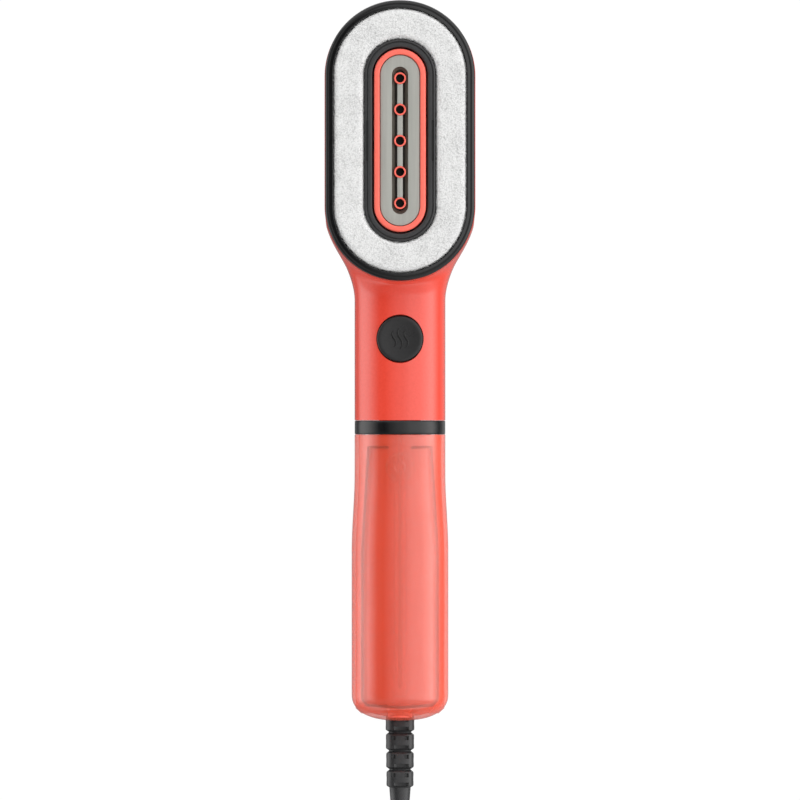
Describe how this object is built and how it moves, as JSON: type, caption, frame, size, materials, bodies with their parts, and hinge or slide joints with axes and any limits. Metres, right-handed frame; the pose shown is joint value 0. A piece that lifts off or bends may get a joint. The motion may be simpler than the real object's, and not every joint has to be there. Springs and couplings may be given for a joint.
{
  "type": "garment steamer",
  "caption": "Handheld garment steamer: oval steam head with a fabric pad ring, trigger button, slim grip, clip-on translucent water tank and a mains lead.",
  "frame": {"origin": "middle of the object's width and length (without its lead), on the surface it lies on", "axes": "+Z out of the steam face, +Y from the tank towards the head, +X to the right seen from the steam face"},
  "size_m": [0.0678, 0.6044, 0.0605],
  "materials": {
    "coral_gloss": "glossy injection-moulded ABS",
    "coral_satin": "satin heat-resistant plastic",
    "black_gloss": "glossy black",
    "black_satin": "satin black",
    "plate_grey": "fine-blasted, anodised",
    "cast_aluminium": "as cast",
    "steel": "zinc plated",
    "brass": "nickel-plated brass",
    "copper": "enamelled wire winding",
    "silicone": "moulded silicone",
    "white_plastic": "plain moulding",
    "pad_fabric": "short looped microfibre",
    "tank_clear": "translucent moulding",
    "board_green": "solder mask",
    "wire_sheath": "wire insulation"
  },
  "bodies": {
    "body": {"button_guide": "black_satin", "button_spring": "steel", "casing_screws": "steel", "chamber_brackets": "steel", "chamber_gasket": "silicone", "chamber_screws": "steel", "clamp_screws": "steel", "collar_band": "black_gloss", "control_board": "board_green", "cord_clamp": "black_gloss", "cord_hank": "black_satin", "cord_inlet": "wire_sheath", "cord_lead": "black_satin", "cord_tail": "black_satin", "core_cover": "coral_gloss", "core_wires": "wire_sheath", "cover_screws": "steel", "feed_hose": "silicone", "front_shell": "coral_gloss", "handle_core": "coral_gloss", "hank_tie": "black_satin", "head_bezel": "black_gloss", "heat_ring": "coral_satin", "heating_element": "steel", "inlet_hose": "silicone", "inner_ring": "black_satin", "micro_switch": "white_plastic", "nozzle_eyelets": "coral_satin", "plug_body": "black_satin", "plug_pins": "brass", "port_seal": "silicone", "port_socket": "white_plastic", "pump_body": "white_plastic", "pump_coil": "copper", "pump_mounts": "silicone", "pump_spring": "steel", "pump_yoke": "steel", "rear_shell": "coral_gloss", "steam_chamber": "cast_aluminium", "steam_plate": "plate_grey", "strain_relief": "black_satin", "terminal_block": "white_plastic", "terminal_screws": "steel", "thermal_fuse": "white_plastic", "thermostat": "white_plastic"},
    "tank": {"tank_shell": "tank_clear", "tank_lid": "tank_clear", "tank_seal": "silicone", "valve_cage": "white_plastic", "valve_spring": "steel", "suction_hose": "silicone", "suction_filter": "white_plastic"},
    "pad": {"pad_cloth": "pad_fabric", "pad_carrier": "white_plastic"},
    "button": {"button_cap": "black_satin"},
    "plunger": {"switch_plunger": "white_plastic"},
    "piston": {"pump_piston": "steel"},
    "poppet": {"valve_poppet": "silicone"},
    "filler": {"filler_plug": "silicone"}
  },
  "joints": [
    {"name": "tank_pull", "type": "slide", "parent": "body", "child": "tank", "axis": [0, 0, 1], "range_m": [0, 0.05]},
    {"name": "pad_pull", "type": "slide", "parent": "body", "child": "pad", "axis": [0, 0, 1], "range_m": [0, 0.015]},
    {"name": "button_press", "type": "slide", "parent": "body", "child": "button", "axis": [0, 0, -1], "range_m": [0, 0.0015], "stiffness_N_per_m": 500, "springref_m": -0.002, "deforming": ["button_spring"]},
    {"name": "plunger_press", "type": "slide", "parent": "body", "child": "plunger", "axis": [0, 0, -1], "range_m": [0, 0.0015]},
    {"name": "pump_stroke", "type": "slide", "parent": "body", "child": "piston", "axis": [0, 1, 0], "range_m": [0, 0.003], "stiffness_N_per_m": 400, "springref_m": -0.002, "deforming": ["pump_spring"]},
    {"name": "valve_close", "type": "slide", "parent": "tank", "child": "poppet", "axis": [0, 0, -1], "range_m": [0, 0.0015], "deforming": ["valve_spring"]},
    {"name": "filler_pull", "type": "slide", "parent": "tank", "child": "filler", "axis": [0, -1, 0], "range_m": [0, 0.014]}
  ],
  "couplings": [
    {"joint": "plunger_press", "follows": "button_press", "ratio": 1},
    {"joint": "valve_close", "follows": "tank_pull", "ratio": 0.03}
  ]
}
